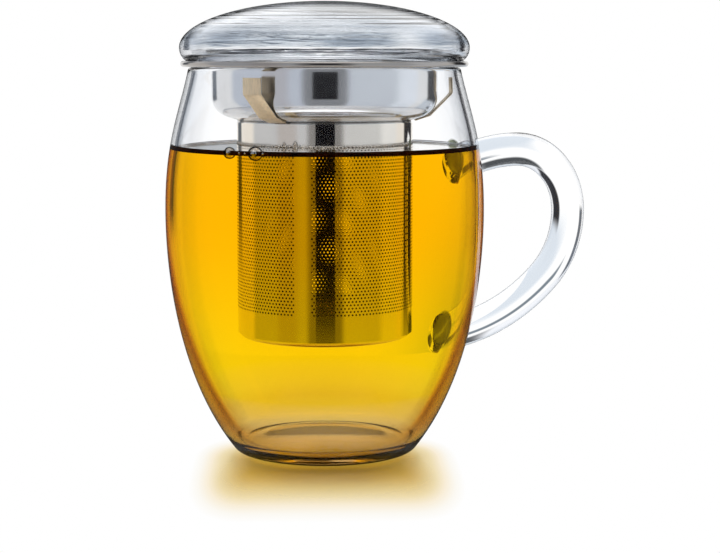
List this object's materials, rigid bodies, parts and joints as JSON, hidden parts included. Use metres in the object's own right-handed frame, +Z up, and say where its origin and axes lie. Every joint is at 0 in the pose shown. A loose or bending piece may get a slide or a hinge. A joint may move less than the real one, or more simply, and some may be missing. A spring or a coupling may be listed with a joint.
{
  "type": "lidded tea mug with infuser",
  "caption": "Barrel-shaped glass tea mug with a loop handle, a perforated steel strainer basket hung in its mouth and a domed glass lid that lifts off.",
  "frame": {"origin": "on the mug's axis, in the plane of the ring that it stands on", "axes": "+Z up along the mug's axis, +X from the axis towards the handle, which is the assembly's longest extent; +Y its shortest"},
  "size_m": [0.1347, 0.0906, 0.1281],
  "materials": {
    "mug_glass": "clear borosilicate, fire-polished",
    "handle_glass": "clear borosilicate rod, fire-polished",
    "lid_glass": "clear borosilicate, pressed and fire-polished",
    "collar_steel": "pressed stainless sheet, polished",
    "basket_steel": "rolled perforated stainless sheet",
    "tab_steel": "bent stainless strip"
  },
  "bodies": {
    "mug": {"mug_body": "mug_glass", "handle": "handle_glass"},
    "strainer": {"strainer_collar": "collar_steel", "basket_wall": "basket_steel", "basket_floor": "basket_steel", "spring_tab_1": "tab_steel", "spring_tab_2": "tab_steel", "spring_tab_3": "tab_steel"},
    "lid": {"lid": "lid_glass"}
  },
  "joints": [
    {"name": "strainer_lift", "type": "slide", "parent": "mug", "child": "strainer", "axis": [0, 0, 1], "range_m": [0, 0.1]},
    {"name": "lid_lift", "type": "slide", "parent": "strainer", "child": "lid", "axis": [0, 0, 1], "range_m": [0, 0.06]}
  ]
}
